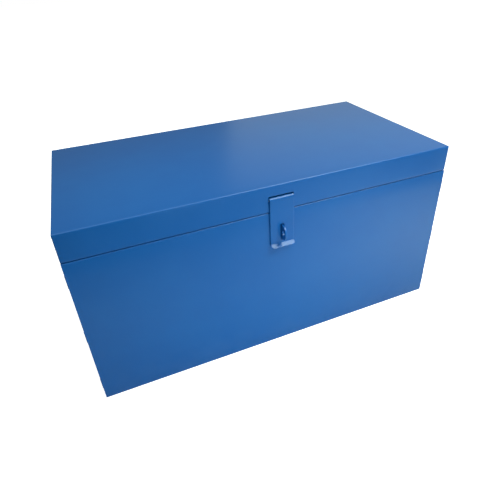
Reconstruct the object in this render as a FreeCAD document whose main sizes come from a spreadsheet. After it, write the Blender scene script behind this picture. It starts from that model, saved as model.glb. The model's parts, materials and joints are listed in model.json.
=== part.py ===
"""Jobsite storage box: a folded sheet-steel chest with a hinged lid, a hasp, end handles and lid stays.

The origin is the middle of the floor's underside. +X runs along the width, the front faces -Y, +Z is up.
"""
import FreeCAD
import Part
import Sketcher
import math
import os

# Driving dimensions, in millimetres
SIZES = {
    # folded shells
    "box_width": 800,
    "box_depth": 400,
    "box_height": 400,
    "sheet": 1.2,
    "bend_radius": 1.0,
    "lid_height": 56,
    "lid_gap": 1.2,
    "rim_return": 16,
    "lid_return": 12,
    "corner_clearance": 0.5,
    # seal strip on the rim
    "gasket_width": 8,
    "gasket_inset": 5,
    "gasket_clearance": 0.2,
    # hat section under the lid
    "stiffener_length": 640,
    "stiffener_width": 50,
    "stiffener_flange": 14,
    "stiffener_drop": 12,
    # back hinges
    "hinge_length": 80,
    "hinge_inset": 130,
    "hinge_reach": 32,
    "leaf_thickness": 2,
    "leaf_corner": 4,
    "hinge_pin_radius": 2.5,
    "pin_clearance": 0.05,
    "knuckle_gap": 0.4,
    "pin_head_radius": 3.8,
    "pin_head_length": 1.5,
    "pin_edge": 0.7,
    # padlock hasp
    "strap_width": 51,
    "strap_thickness": 3,
    "strap_standoff": 1,
    "strap_reach": 98,
    "hasp_axis_drop": 31.3,
    "hasp_pin_radius": 3,
    "neck_bend": 1.5,
    "bracket_thickness": 3,
    "bracket_clearance": 0.4,
    "ear_nose_radius": 6.5,
    "skirt_slot_rise": 9,
    "lip_length": 11.5,
    "lip_corner": 6,
    "lip_bend": 2,
    # padlock staple
    "staple_drop": 102.8,
    "staple_height": 31,
    "staple_thickness": 4,
    "staple_reach": 22,
    "staple_corner": 12,
    "staple_base_width": 26,
    "staple_base_height": 46,
    "staple_base_thickness": 3,
    "staple_fit": 0.2,
    "staple_slot_side": 2,
    "staple_slot_end": 3.5,
    "eye_radius": 5,
    "eye_reach": 12.5,
    # end handles
    "handle_height": 225,
    "plate_width": 164,
    "plate_up": 22,
    "plate_down": 34,
    "plate_thickness": 2,
    "plate_corner": 6,
    "pivot_out": 11,
    "rod_radius": 4,
    "rod_clearance": 0.1,
    "ear_inside": 59,
    "ear_radius": 8,
    "stub_past_ear": 4,
    "bail_half_width": 50,
    "bail_drop": 44,
    "bail_corner": 12,
    "stub_bend": 8,
    "stop_depth": 18,
    "stop_clearance": 0.3,
    "rivet_radius": 2.4,
    "rivet_clearance": 0.05,
    "rivet_inset": 11,
    "rivet_head_radius": 4.5,
    "rivet_head_height": 2.2,
    "rivet_dome": 1.8,
    "rivet_tail_radius": 3.8,
    "rivet_tail_height": 1.6,
    # lid stays
    "stay_back": 150,
    "stay_rise": 22,
    "stay_clearance": 1,
    "stay_thickness": 2.5,
    "stay_width": 18,
    "stud_radius": 4,
    "stud_clearance": 0.1,
    "stud_end_play": 0.2,
    "spacer_radius": 6.5,
    "stud_head_radius": 7.5,
    "stud_head_length": 2.2,
    "stud_edge": 1.1,
}

LID_OPEN = math.radians(100)  # how far the stays let the lid turn
LIP_ANGLE = math.radians(53)  # how far the strap's finger lip turns out of the strap
LEAF_ROLL = (180, 475)  # from where a hinge leaf's knuckle leaves its leaf to where it ends, in degrees
STRAP_ROLL = (90, -140)  # the same for the strap, which is rolled the other way
KNUCKLES = 5  # along one back hinge, three on the body and two on the lid
NEAR = 0.01  # millimetres within which an edge counts as lying at a place

doc = FreeCAD.newDocument("storage_box")
sheet_object = doc.addObject("Spreadsheet::Sheet", "Sizes")
for row, (alias, number) in enumerate(SIZES.items(), start=1):
    sheet_object.set(f"A{row}", alias)
    sheet_object.set(f"B{row}", str(number))
    sheet_object.setAlias(f"B{row}", alias)
doc.recompute()


class Dim:
    """A length: its value in millimetres, and the expression that ties it to the sheet."""

    def __init__(self, value, text):
        self.value = value
        self.text = text

    @staticmethod
    def of(number):
        if isinstance(number, Dim):
            return number
        return Dim(float(number), f"({float(number)!r})")

    def __add__(self, other):
        other = Dim.of(other)
        return Dim(self.value + other.value, f"({self.text} + {other.text})")

    def __sub__(self, other):
        other = Dim.of(other)
        return Dim(self.value - other.value, f"({self.text} - {other.text})")

    def __mul__(self, other):
        other = Dim.of(other)
        return Dim(self.value * other.value, f"({self.text} * {other.text})")

    def __truediv__(self, other):
        other = Dim.of(other)
        return Dim(self.value / other.value, f"({self.text} / {other.text})")

    def __neg__(self):
        return self * -1

    def __rsub__(self, other):
        return Dim.of(other) - self

    __radd__ = __add__
    __rmul__ = __mul__


def size(alias):
    return Dim(float(sheet_object.get(alias)), f"Sizes.{alias}")


# Sketch and feature helpers

def new_body(label):
    body = doc.addObject("PartDesign::Body", label)
    body.Label = label
    body.AllowCompound = True
    return body


def new_sketch(body, plane, offset=0):
    """A sketch on one of the body's own origin planes, moved along that plane's normal."""
    sketch = body.newObject("Sketcher::SketchObject", "Sketch")
    support = next(f for f in body.Origin.OriginFeatures if f.Role == plane)
    sketch.AttachmentSupport = [(support, "")]
    sketch.MapMode = "FlatFace"
    sketch.setExpression("AttachmentOffset.Base.z", Dim.of(offset).text)
    return sketch


def tie(sketch, kind, where, length):
    """One dimension of a sketch, bound to the sheet."""
    index = sketch.addConstraint(Sketcher.Constraint(kind, *where, length.value))
    sketch.setExpression(f"Constraints[{index}]", length.text)


def pin_point(sketch, geometry, end, point):
    for kind, length in zip(("DistanceX", "DistanceY"), point):
        tie(sketch, kind, (-1, 1, geometry, end), Dim.of(length))


def vector(point):
    return FreeCAD.Vector(Dim.of(point[0]).value, Dim.of(point[1]).value, 0)


def draw(sketch, corners, bulges=None, closed=True):
    """An outline through the corners.

    A bulge (centre, point on the arc) makes the stretch after its corner round.
    """
    bulges = bulges or {}
    first = len(sketch.Geometry)
    count = len(corners) if closed else len(corners) - 1
    for i in range(count):
        start = vector(corners[i])
        end = vector(corners[(i + 1) % len(corners)])
        if i in bulges:
            sketch.addGeometry(Part.Arc(start, vector(bulges[i][1]), end), False)
        else:
            sketch.addGeometry(Part.LineSegment(start, end), False)
    ends = [stretch_ends(sketch, first + i, corners[i]) for i in range(count)]
    for i in range(count):
        follower = (i + 1) % count
        if closed or i + 1 < count:
            sketch.addConstraint(Sketcher.Constraint(
                "Coincident", first + i, ends[i][1], first + follower, ends[follower][0]))
        pin_point(sketch, first + i, ends[i][0], corners[i])
        if i in bulges:
            chord = vector(corners[(i + 1) % len(corners)]) - vector(corners[i])
            kind, along = ("DistanceY", 1) if abs(chord.x) > abs(chord.y) else ("DistanceX", 0)
            tie(sketch, kind, (-1, 1, first + i, 3), Dim.of(bulges[i][0][along]))
    if not closed:
        pin_point(sketch, first + count - 1, ends[-1][1], corners[-1])


def stretch_ends(sketch, geometry, corner):
    """Which end of a stretch lies on its first corner: an arc always runs anticlockwise."""
    start = sketch.getPoint(geometry, 1)
    return (1, 2) if (start - vector(corner)).Length < NEAR else (2, 1)


def draw_box(sketch, low, high):
    draw(sketch, [low, (high[0], low[1]), high, (low[0], high[1])])


def draw_circle(sketch, centre, radius):
    circle = Part.Circle(vector(centre), FreeCAD.Vector(0, 0, 1), Dim.of(radius).value)
    geometry = sketch.addGeometry(circle, False)
    pin_point(sketch, geometry, 3, centre)
    tie(sketch, "Radius", (geometry,), Dim.of(radius))


def draw_slot(sketch, low, high, radius):
    """An upright slot with round ends, between the centres of its two ends."""
    u = Dim.of(low[0])
    corners = [(u - radius, high[1]), (u - radius, low[1]), (u + radius, low[1]), (u + radius, high[1])]
    bulges = {
        1: (low, (u, low[1] - radius)),
        3: (high, (u, high[1] + radius)),
    }
    draw(sketch, corners, bulges)


def extrude(kind, body, sketch, length, side="One side", backwards=False):
    before = 0 if body.Tip is None else body.Tip.Shape.Volume
    feature = body.newObject(f"PartDesign::{kind}", kind)
    feature.Profile = sketch
    feature.SideType = side
    feature.Reversed = backwards
    feature.setExpression("Length", Dim.of(length).text)
    doc.recompute()
    grew = feature.Shape.Volume - before
    if (grew > 0) != (kind == "Pad"):
        raise ValueError(f"{body.Label}: {kind} changed the volume by {grew:.3f}")
    return feature


def pad(body, sketch, length, **options):
    return extrude("Pad", body, sketch, length, **options)


def pocket(body, sketch, length):
    """A cut to both sides of the sketch's plane."""
    return extrude("Pocket", body, sketch, length, side="Symmetric")


def dig(body, sketch, depth, along_normal):
    """A cut to one side of the sketch's plane."""
    return extrude("Pocket", body, sketch, depth, backwards=along_normal)


def flat_at(item, **places):
    """Whether an edge or a face lies at the given coordinates."""
    box = item.BoundBox
    for axis, place in places.items():
        value = Dim.of(place).value
        low = getattr(box, f"{axis.upper()}Min")
        high = getattr(box, f"{axis.upper()}Max")
        if abs(low - value) > NEAR or abs(high - value) > NEAR:
            return False
    return True


def fillet(body, radius, chosen):
    """Rounds the edges of the body that the test picks."""
    base = body.Tip
    names = [f"Edge{i}" for i, edge in enumerate(base.Shape.Edges, start=1) if chosen(edge)]
    if not names:
        raise ValueError(f"{body.Label}: no edge to round")
    feature = body.newObject("PartDesign::Fillet", "Fillet")
    feature.Base = (base, names)
    feature.setExpression("Radius", Dim.of(radius).text)
    doc.recompute()
    return feature


def inside(edge, low, high):
    """Whether an edge lies within a box, faces included."""
    box = edge.BoundBox
    lowest = (box.XMin, box.YMin, box.ZMin)
    highest = (box.XMax, box.YMax, box.ZMax)
    above = all(at > Dim.of(limit).value - NEAR for at, limit in zip(lowest, low))
    below = all(at < Dim.of(limit).value + NEAR for at, limit in zip(highest, high))
    return above and below


def turned(label, y, z, stations):
    """A piece turned about an axis along X, from (x, radius) stations in order along the axis."""
    body = new_body(label)
    sketch = new_sketch(body, "XY_Plane", z)
    y = Dim.of(y)
    corners = [(stations[0][0], y)]
    corners += [(x, y + radius) for x, radius in stations]
    corners += [(stations[-1][0], y)]
    draw(sketch, corners)
    axis = sketch.addGeometry(Part.LineSegment(vector(corners[0]), vector(corners[-1])), True)
    sketch.addConstraint(Sketcher.Constraint("Coincident", axis, 1, 0, 1))
    sketch.addConstraint(Sketcher.Constraint("Coincident", axis, 2, len(corners) - 1, 1))
    feature = body.newObject("PartDesign::Revolution", "Revolution")
    feature.Profile = sketch
    feature.ReferenceAxis = (sketch, ["Axis0"])
    feature.Angle = 360
    doc.recompute()
    return body


# Sizes shared by several pieces

sheet = size("sheet")
bend_radius = size("bend_radius")
outer_bend = sheet + bend_radius
half_width = size("box_width") / 2
half_depth = size("box_depth") / 2
box_height = size("box_height")
lid_bottom = box_height - size("lid_height")
body_top = lid_bottom - size("lid_gap")
rim_return = size("rim_return")
lid_return = size("lid_return")
pin_clearance = size("pin_clearance")

hinge_bore = size("hinge_pin_radius") + pin_clearance
knuckle_radius = hinge_bore + size("leaf_thickness")
hinge_y = half_depth + knuckle_radius
hinge_z = (lid_bottom + body_top) / 2

strap_half = size("strap_width") / 2
hasp_bore = size("hasp_pin_radius") + pin_clearance
strap_knuckle = hasp_bore + size("strap_thickness")
skirt_inside = sheet - half_depth
hasp_y = skirt_inside + size("hasp_pin_radius") + size("bracket_clearance") / 2
hasp_z = box_height - size("hasp_axis_drop")
slot_half = strap_half + size("bracket_clearance") * 2
slot_bottom = hasp_z - strap_knuckle - size("bracket_clearance")
ear_half = slot_half + size("bracket_thickness")

staple_z = box_height - size("staple_drop")
staple_half = size("staple_height") / 2

handle_z = size("handle_height")
plate_half = size("plate_width") / 2
pivot_out = size("pivot_out")
rod_radius = size("rod_radius")

stay_y = hinge_y - size("stay_back")
stay_face = half_width - rim_return - size("stay_clearance")


# Folded shells

def make_body_wrap():
    """Front, floor and back from one folded sheet, with the rim turned in along both long edges."""
    body = new_body("body_wrap")
    sketch = new_sketch(body, "YZ_Plane")
    wall = half_depth - sheet
    edge = half_depth - rim_return
    under_rim = body_top - sheet
    half = [
        (half_depth, 0), (half_depth, body_top), (edge, body_top),
        (edge, under_rim), (wall, under_rim), (wall, sheet)]
    draw(sketch, half + [(-Dim.of(y), z) for y, z in reversed(half)])
    pad(body, sketch, size("box_width"), side="Symmetric")
    walls = (half_depth, -half_depth)
    fillet(body, outer_bend, lambda edge: any(
        flat_at(edge, y=y, z=z) for y in walls for z in (0, body_top)))
    walls_inside = (wall, -wall)
    fillet(body, bend_radius, lambda edge: any(
        flat_at(edge, y=y, z=z) for y in walls_inside for z in (sheet, under_rim)))
    slot = new_sketch(body, "XZ_Plane", half_depth)
    across = size("staple_thickness") / 2 + size("staple_fit")
    upright = staple_half + size("staple_fit")
    draw_box(slot, (-across, staple_z - upright), (across, staple_z + upright))
    pocket(body, slot, outer_bend * 2)
    return body


def rivet_places():
    """Where the handle's rivets go through the end wall, as (y, z)."""
    inset = size("rivet_inset")
    across = plate_half - inset
    heights = (handle_z + size("plate_up") - inset, handle_z - size("plate_down") + inset)
    return [(side * across, z) for side in (-1, 1) for z in heights]


def make_end_panel(label, side):
    """An end wall: a shallow tray set into the wrap, open inwards, whose upper flange is the rim."""
    body = new_body(label)
    face = half_width * side
    mouth = (half_width - rim_return) * side
    half = half_depth - sheet
    outline = new_sketch(body, "YZ_Plane", face)
    draw_box(outline, (-half, sheet), (half, body_top))
    pad(body, outline, rim_return, backwards=side > 0)
    fillet(body, outer_bend, lambda edge: not flat_at(edge, x=mouth))
    cavity = new_sketch(body, "YZ_Plane", mouth)
    low = (sheet - half, sheet * 2)
    high = (half - sheet, body_top - sheet)
    draw_box(cavity, low, high)
    dig(body, cavity, rim_return - sheet, along_normal=side > 0)
    fillet(body, bend_radius, lambda edge: not flat_at(edge, x=mouth) and inside(
        edge, (sheet - half_width, *low), (half_width - sheet, *high)))
    notch = new_sketch(body, "YZ_Plane", face)
    inner = half_depth - rim_return - size("corner_clearance")
    notch_foot = body_top - outer_bend - size("corner_clearance")
    for end in (-1, 1):
        draw_box(notch, (end * inner, notch_foot), (end * half_depth, body_top + sheet))
    pocket(body, notch, rim_return * 2 + sheet)
    holes = new_sketch(body, "YZ_Plane", face)
    for place in rivet_places():
        draw_circle(holes, place, size("rivet_radius") + size("rivet_clearance"))
    pocket(body, holes, outer_bend * 2)
    return body


def make_lid_shell():
    """The lid: a folded tray, welded at the corners, its edge turned in, with the hasp's slot in front."""
    body = new_body("lid_shell")
    outline = new_sketch(body, "XY_Plane", lid_bottom)
    draw_box(outline, (-half_width, -half_depth), (half_width, half_depth))
    pad(body, outline, size("lid_height"))
    fillet(body, outer_bend, lambda edge: True)
    floor = lid_bottom + sheet
    ceiling = box_height - sheet
    mouth = (half_width - lid_return, half_depth - lid_return)
    walls = (half_width - sheet, half_depth - sheet)
    for reach, start in ((mouth, lid_bottom), (walls, floor)):
        cavity = new_sketch(body, "XY_Plane", start)
        draw_box(cavity, (-reach[0], -reach[1]), reach)
        dig(body, cavity, ceiling - start, along_normal=True)
    fillet(body, bend_radius, lambda edge: inside(
        edge, (-walls[0], -walls[1], floor), (*walls, ceiling)) and not inside(
        edge, (-mouth[0], -mouth[1], lid_bottom), (*mouth, floor)))
    slot = new_sketch(body, "XZ_Plane", half_depth)
    draw_box(slot, (-slot_half, slot_bottom), (slot_half, hasp_z + size("skirt_slot_rise")))
    pocket(body, slot, outer_bend * 2)
    return body


def make_rim_gasket():
    """The seal strip that lies on the rim, all the way round, just under the lid's turned-in edge."""
    body = new_body("rim_gasket")
    ring = new_sketch(body, "XY_Plane", body_top)
    outer = size("gasket_inset")
    inner = outer + size("gasket_width")
    for inset in (outer, inner):
        draw_box(ring, (inset - half_width, inset - half_depth), (half_width - inset, half_depth - inset))
    pad(body, ring, size("lid_gap") - size("gasket_clearance"))
    return body


def make_lid_stiffener():
    """A hat section along the middle of the lid, its two flanges against the underside of the top."""
    body = new_body("lid_stiffener")
    sketch = new_sketch(body, "YZ_Plane")
    top = box_height - sheet
    crown = top - size("stiffener_drop")
    web = size("stiffener_width") / 2
    toe = web + size("stiffener_flange")
    web_inside = web - sheet
    half = [
        (web, crown), (web, top - sheet), (toe, top - sheet),
        (toe, top), (web_inside, top), (web_inside, crown + sheet)]
    draw(sketch, half + [(-y, z) for y, z in reversed(half)])
    pad(body, sketch, size("stiffener_length"), side="Symmetric")
    outer = ((web, crown), (web_inside, top))
    inner = ((web, top - sheet), (web_inside, crown + sheet))
    for radius, bends in ((outer_bend, outer), (bend_radius, inner)):
        fillet(body, radius, lambda edge: any(
            flat_at(edge, y=side * y, z=z) for side in (-1, 1) for y, z in bends))
    return body


# Rolled leaves, shared by the back hinges and the hasp

def roll(centre, bore, wall, turn):
    """A sheet rolled round a pin, from the angle where it leaves for its leaf to the angle where it ends.

    Gives the corners from the wall's outer face round to its inner face, and the two round stretches.
    """
    begin, end = (math.radians(angle) for angle in turn)

    def on_circle(radius, angle):
        return (centre[0] + radius * math.cos(angle), centre[1] + radius * math.sin(angle))

    outer = bore + wall
    halfway = (begin + end) / 2
    corners = [on_circle(outer, begin), on_circle(outer, end), on_circle(bore, end), on_circle(bore, begin)]
    bulges = {
        0: (centre, on_circle(outer, halfway)),
        2: (centre, on_circle(bore, halfway)),
    }
    return corners, bulges


def make_hinge_leaf(label, middle, up):
    """One leaf of a back hinge, flat on the wall, with its share of the rolled knuckles."""
    body = new_body(label)
    sketch = new_sketch(body, "YZ_Plane", middle)
    turn = [angle * up for angle in LEAF_ROLL]
    corners, bulges = roll((hinge_y, hinge_z), hinge_bore, size("leaf_thickness"), turn)
    far = hinge_z + up * size("hinge_reach")
    draw(sketch, corners + [(corners[3][0], far), (corners[0][0], far)], bulges)
    length = size("hinge_length")
    pad(body, sketch, length, side="Symmetric")
    fillet(body, size("leaf_corner"), lambda edge: any(
        flat_at(edge, x=middle + end * length / 2, z=far) for end in (-1, 1)))
    gaps = new_sketch(body, "XZ_Plane", -hinge_y)
    pitch = length / KNUCKLES
    first_gap = 1 if up < 0 else 0
    behind = hinge_z - up * (knuckle_radius + size("knuckle_gap"))
    ahead = hinge_z + up * (knuckle_radius + size("knuckle_gap"))
    for k in range(first_gap, KNUCKLES, 2):
        left = middle - length / 2 + k * pitch - size("knuckle_gap") / 2
        right = left + pitch + size("knuckle_gap")
        draw_box(gaps, (left, behind), (right, ahead))
    pocket(body, gaps, knuckle_radius * 3)
    return body


def make_hinge(name, middle):
    """A back hinge: a leaf on the body, a leaf on the lid and a pin with a head at both ends."""
    body_leaf = make_hinge_leaf(f"{name}_hinge_body_leaf", middle, -1)
    lid_leaf = make_hinge_leaf(f"{name}_hinge_lid_leaf", middle, 1)
    end = size("hinge_length") / 2 + pin_clearance
    tip = end + size("pin_head_length")
    radius = size("hinge_pin_radius")
    head = size("pin_head_radius")
    pin = turned(f"{name}_hinge_pin", hinge_y, hinge_z, [
        (middle - tip, head), (middle - end, head), (middle - end, radius),
        (middle + end, radius), (middle + end, head), (middle + tip, head)])
    fillet(pin, size("pin_edge"), lambda edge: any(
        flat_at(edge, x=middle + side * tip) for side in (-1, 1)))
    return [body_leaf, lid_leaf, pin]


# Padlock hasp

def make_hasp_strap():
    """A flat bar in front of the wall, slotted for the staple, with a lip turned out for the fingers.

    Its upper end bends back through the slot in the lid's skirt and is rolled round the pin inside.
    """
    body = new_body("hasp_strap")
    sketch = new_sketch(body, "YZ_Plane")
    wall = size("strap_thickness")
    corners, bulges = roll((hasp_y, hasp_z), hasp_bore, wall, STRAP_ROLL)
    back = -half_depth - size("strap_standoff")
    front = back - wall
    neck_under = hasp_z + hasp_bore
    neck_top = hasp_z + strap_knuckle
    bend = hasp_z - size("strap_reach")
    along = (-math.sin(LIP_ANGLE), -math.cos(LIP_ANGLE))
    outward = (-math.cos(LIP_ANGLE), math.sin(LIP_ANGLE))
    inner_corner = (front, bend + wall * math.tan(LIP_ANGLE / 2))
    tip_back = (back + along[0] * size("lip_length"), bend + along[1] * size("lip_length"))
    tip_front = (tip_back[0] + outward[0] * wall, tip_back[1] + outward[1] * wall)
    corners += [(back, neck_under), (back, bend), tip_back, tip_front, inner_corner, (front, neck_top)]
    draw(sketch, corners, bulges)
    pad(body, sketch, size("strap_width"), side="Symmetric")
    bends = (
        (size("neck_bend"), (back, neck_under)),
        (size("neck_bend") + wall, (front, neck_top)),
        (size("lip_bend"), inner_corner),
        (size("lip_bend") + wall, (back, bend)),
    )
    for radius, (y, z) in bends:
        fillet(body, radius, lambda edge: flat_at(edge, y=y, z=z))
    tip_y, tip_z = ((tip_back[i] + tip_front[i]).value / 2 for i in (0, 1))

    def lip_corner(edge):
        """Whether an edge crosses the bar's thickness at a corner of the lip."""
        middle = edge.CenterOfMass
        at_tip = abs(middle.y - tip_y) < NEAR and abs(middle.z - tip_z) < NEAR
        return at_tip and abs(edge.Length - wall.value) < NEAR

    fillet(body, size("lip_corner"), lip_corner)
    slot = new_sketch(body, "XZ_Plane", -front)
    radius = size("staple_thickness") / 2 + size("staple_slot_side")
    reach = staple_half + size("staple_slot_end") - radius
    draw_slot(slot, (Dim.of(0), staple_z - reach), (Dim.of(0), staple_z + reach), radius)
    pocket(body, slot, wall * 4)
    return body


def make_hasp_bracket():
    """A folded clevis on the inside of the lid's skirt, with an ear for the pin beside each slot end."""
    body = new_body("hasp_bracket")
    thickness = size("bracket_thickness")
    foot = lid_bottom + sheet + bend_radius
    base = new_sketch(body, "XZ_Plane", -skirt_inside)
    draw_box(base, (-ear_half, foot), (ear_half, slot_bottom))
    pad(body, base, thickness, backwards=True)
    nose = size("ear_nose_radius")
    rear = hasp_y + nose
    top = hasp_z + nose
    slope = math.sqrt(0.5)
    for end in (-1, 1):
        ear = new_sketch(body, "YZ_Plane", end * ear_half)
        corners = [(skirt_inside, foot), (rear, foot), (rear, hasp_z), (hasp_y, top), (skirt_inside, top)]
        draw(ear, corners, {2: ((hasp_y, hasp_z), (hasp_y + nose * slope, hasp_z + nose * slope))})
        draw_circle(ear, (hasp_y, hasp_z), hasp_bore)
        pad(body, ear, thickness, backwards=end > 0)
    return body


def make_hasp_pin():
    """A plain pin, flush with the outer faces of the bracket's ears."""
    end = ear_half
    radius = size("hasp_pin_radius")
    pin = turned("hasp_pin", hasp_y, hasp_z, [(-end, radius), (end, radius)])
    fillet(pin, size("pin_edge"), lambda edge: any(flat_at(edge, x=side * end) for side in (-1, 1)))
    return pin


def make_padlock_staple():
    """A flat eye through the front wall, on a foot that bears against the wall's inner face."""
    body = new_body("padlock_staple")
    inner_face = sheet - half_depth
    foot = new_sketch(body, "XZ_Plane", -inner_face)
    across = size("staple_base_width") / 2
    upright = size("staple_base_height") / 2
    draw_box(foot, (-across, staple_z - upright), (across, staple_z + upright))
    pad(body, foot, size("staple_base_thickness"), backwards=True)
    tab = new_sketch(body, "YZ_Plane")
    tip = -half_depth - size("staple_reach")
    draw_box(tab, (tip, staple_z - staple_half), (inner_face, staple_z + staple_half))
    draw_circle(tab, (-half_depth - size("eye_reach"), staple_z), size("eye_radius"))
    pad(body, tab, size("staple_thickness"), side="Symmetric")
    fillet(body, size("staple_corner"), lambda edge: any(
        flat_at(edge, y=tip, z=staple_z + end * staple_half) for end in (-1, 1)))
    return body


# End handles

def make_handle_plate(label, side):
    """The plate riveted to the end wall, with an ear at each end of the bail and a ledge that stops it."""
    body = new_body(label)
    face = half_width * side
    thickness = size("plate_thickness")
    top = handle_z + size("plate_up")
    bottom = handle_z - size("plate_down")
    plate = new_sketch(body, "YZ_Plane", face)
    draw_box(plate, (-plate_half, bottom), (plate_half, top))
    for place in rivet_places():
        draw_circle(plate, place, size("rivet_radius") + size("rivet_clearance"))
    pad(body, plate, thickness, backwards=side < 0)
    fillet(body, size("plate_corner"), lambda edge: any(
        flat_at(edge, y=end * plate_half, z=z) for end in (-1, 1) for z in (bottom, top)))
    pivot = (half_width + pivot_out) * side
    radius = size("ear_radius")
    for end in (-1, 1):
        ear = new_sketch(body, "XZ_Plane", -end * size("ear_inside"))
        foot = handle_z - radius
        head = handle_z + radius
        corners = [(face, foot), (pivot, foot), (pivot, head), (face, head)]
        draw(ear, corners, {1: ((pivot, handle_z), (pivot + side * radius, handle_z))})
        draw_circle(ear, (pivot, handle_z), rod_radius + size("rod_clearance"))
        pad(body, ear, thickness, backwards=end > 0)
    ledge = new_sketch(body, "XY_Plane", handle_z + rod_radius + size("stop_clearance"))
    lip = (half_width + size("stop_depth")) * side
    draw_box(ledge, (face, -size("ear_inside")), (lip, size("ear_inside")))
    pad(body, ledge, thickness)
    return body


def make_handle_bail(label, side):
    """The swinging grip: a round bar bent into a U, its two ends turned out through the plate's ears."""
    body = new_body(label)
    pivot = (half_width + pivot_out) * side
    end = size("ear_inside") + size("plate_thickness") + size("stub_past_ear")
    leg = size("bail_half_width")
    turn = size("stub_bend")
    corner = size("bail_corner")
    grip = handle_z - size("bail_drop")
    near = 1 - math.sqrt(0.5)
    path = new_sketch(body, "YZ_Plane", pivot)
    half = [
        (end, handle_z), (leg + turn, handle_z), (leg, handle_z - turn),
        (leg, grip + corner), (leg - corner, grip)]
    corners = [(-y, z) for y, z in half] + list(reversed(half))
    bulges = {}
    for sign, first, second in ((-1, 1, 3), (1, 7, 5)):
        bulges[first] = (
            (sign * (leg + turn), handle_z - turn),
            (sign * (leg + turn * near), handle_z - turn * near))
        bulges[second] = (
            (sign * (leg - corner), grip + corner),
            (sign * (leg - corner * near), grip + corner * near))
    draw(path, corners, bulges, closed=False)
    section = new_sketch(body, "XZ_Plane", end)
    draw_circle(section, (pivot, handle_z), rod_radius)
    pipe = body.newObject("PartDesign::AdditivePipe", "Pipe")
    pipe.Profile = section
    pipe.Spine = path
    doc.recompute()
    return body


def make_handle_rivets(label, side):
    """Four rivets with a domed head on the plate and a set tail inside the wall."""
    body = new_body(label)
    tail = (half_width - sheet) * side
    head = (half_width + size("plate_thickness")) * side
    outwards = side < 0
    stages = (
        (tail, size("rivet_radius"), sheet + size("plate_thickness"), outwards),
        (head, size("rivet_head_radius"), size("rivet_head_height"), outwards),
        (tail, size("rivet_tail_radius"), size("rivet_tail_height"), not outwards),
    )
    for start, radius, length, backwards in stages:
        sketch = new_sketch(body, "YZ_Plane", start)
        for place in rivet_places():
            draw_circle(sketch, place, radius)
        pad(body, sketch, length, backwards=backwards)
    crown = head + side * size("rivet_head_height")
    fillet(body, size("rivet_dome"), lambda edge: flat_at(edge, x=crown))
    return body


# Lid stays

def stay_lengths():
    """From the lid stud to the body stud, with the lid shut and with it fully open.

    Both studs are as far from the hinge's axis, so the arm always turns half as far as the lid.
    """
    shut = 2 * size("stay_rise")
    half_open = LID_OPEN / 2
    open_ = 2 * (size("stay_rise") * math.cos(half_open) + size("stay_back") * math.sin(half_open))
    return shut, open_


def make_stay_arm(label, side):
    """A flat bar that hangs from the lid's stud and slides on the body's stud along its slot."""
    body = new_body(label)
    shut, open_ = stay_lengths()
    pivot_z = hinge_z + size("stay_rise")
    round_end = size("stay_width") / 2
    running = size("stud_radius") + size("stud_clearance")
    arm = new_sketch(body, "YZ_Plane", side * stay_face)
    draw_slot(arm, (stay_y, pivot_z - open_), (stay_y, pivot_z), round_end)
    draw_slot(arm, (stay_y, pivot_z - open_), (stay_y, pivot_z - shut), running)
    draw_circle(arm, (stay_y, pivot_z), running)
    pad(body, arm, size("stay_thickness"), backwards=side > 0)
    return body


def make_stay_stud(label, side, z):
    """A shouldered stud: a spacer off the wall, a journal in the arm and a head that keeps the arm on."""
    wall = half_width - sheet
    shoulder = stay_face + size("stud_end_play")
    under_head = stay_face - size("stay_thickness") - size("stud_end_play")
    end = under_head - size("stud_head_length")
    spacer = size("spacer_radius")
    journal = size("stud_radius")
    head = size("stud_head_radius")
    stations = [
        (wall, spacer), (shoulder, spacer), (shoulder, journal),
        (under_head, journal), (under_head, head), (end, head)]
    stud = turned(label, stay_y, z, [(side * x, radius) for x, radius in stations])
    fillet(stud, size("stud_edge"), lambda edge: flat_at(edge, x=side * end))
    return stud


# The assembly

SIDES = {"left": -1, "right": 1}
pieces = [make_body_wrap(), make_lid_shell(), make_rim_gasket(), make_lid_stiffener()]
pieces += [make_hasp_strap(), make_hasp_bracket(), make_hasp_pin(), make_padlock_staple()]
hinge_out = half_width - size("hinge_inset")
for hinge_name, place in (("left", -hinge_out), ("centre", Dim.of(0)), ("right", hinge_out)):
    pieces += make_hinge(hinge_name, place)
for side_name, side_sign in SIDES.items():
    pieces.append(make_end_panel(f"{side_name}_end_panel", side_sign))
    pieces.append(make_handle_plate(f"{side_name}_handle_plate", side_sign))
    pieces.append(make_handle_bail(f"{side_name}_handle_bail", side_sign))
    pieces.append(make_handle_rivets(f"{side_name}_handle_rivets", side_sign))
    pieces.append(make_stay_arm(f"{side_name}_stay_arm", side_sign))
    pieces.append(make_stay_stud(f"{side_name}_stay_lid_stud", side_sign, hinge_z + size("stay_rise")))
    pieces.append(make_stay_stud(f"{side_name}_stay_body_stud", side_sign, hinge_z - size("stay_rise")))

doc.recompute()
for item in doc.Objects:
    if "Invalid" in item.State or "Error" in item.State:
        raise RuntimeError(f"{item.Label}: {item.State}")
for piece in pieces:
    if piece.Shape.isNull() or not piece.Shape.isValid():
        raise RuntimeError(f"{piece.Label}: no valid solid")

os.makedirs("parts", exist_ok=True)
for piece in pieces:
    piece.Shape.exportStep(f"parts/{piece.Label}.step")
    print(f"{piece.Label}: {len(piece.Shape.Solids)} solid(s), {piece.Shape.Volume:.0f} mm3")
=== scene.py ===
# %% [markdown]
# # A jobsite storage box
# The object is a chest of folded sheet steel, sprayed with blue enamel: a body, a tray-shaped lid on three
# hinges, and a flat hasp bar that swings down over a staple for a padlock. The solids come from the packed
# frame, and this lesson dresses them: some solids keep their shape and get a finish, others give way to
# surfaces with the small forms that a maker's hand leaves, such as broken edges, soft roots and weld beads.

# %% Load the frame
import json
import math

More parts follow.
